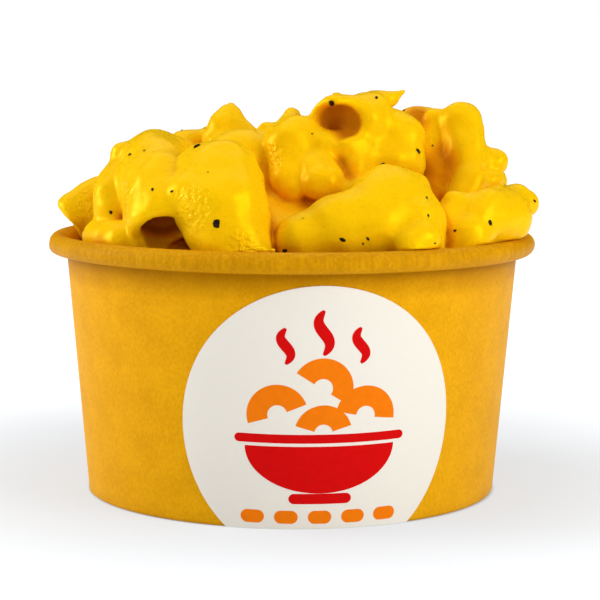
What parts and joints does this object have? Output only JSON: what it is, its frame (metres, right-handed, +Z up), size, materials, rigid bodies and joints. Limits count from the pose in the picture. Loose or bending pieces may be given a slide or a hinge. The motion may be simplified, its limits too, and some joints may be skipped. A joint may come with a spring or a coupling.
{
  "type": "mac and cheese in a paper tub",
  "caption": "Elbow macaroni in glossy yellow cheese sauce, heaped above the rim of a round kraft paper tub with a rolled rim and a round printed sticker.",
  "frame": {"origin": "middle of the tub's foot, on the surface it stands on", "axes": "+Z up along the tub's axis; the label faces -Y; +X to the viewer's right"},
  "size_m": [0.094, 0.094, 0.0782],
  "materials": {
    "kraft_paper": "golden brown kraft board with a fine fibre mottle and a thin satin coat",
    "kraft_base": "uncoated kraft board",
    "label_print": "smooth off-white sticker paper with flat red and orange print",
    "cheese_pasta": "wet yellow cheese sauce over soft pasta, with small bright highlights",
    "pepper": "cracked black pepper"
  },
  "bodies": {
    "root": {"tub_wall": "kraft_paper", "tub_base": "kraft_base", "label": "label_print", "macaroni_heap": "cheese_pasta"}
  },
  "joints": []
}
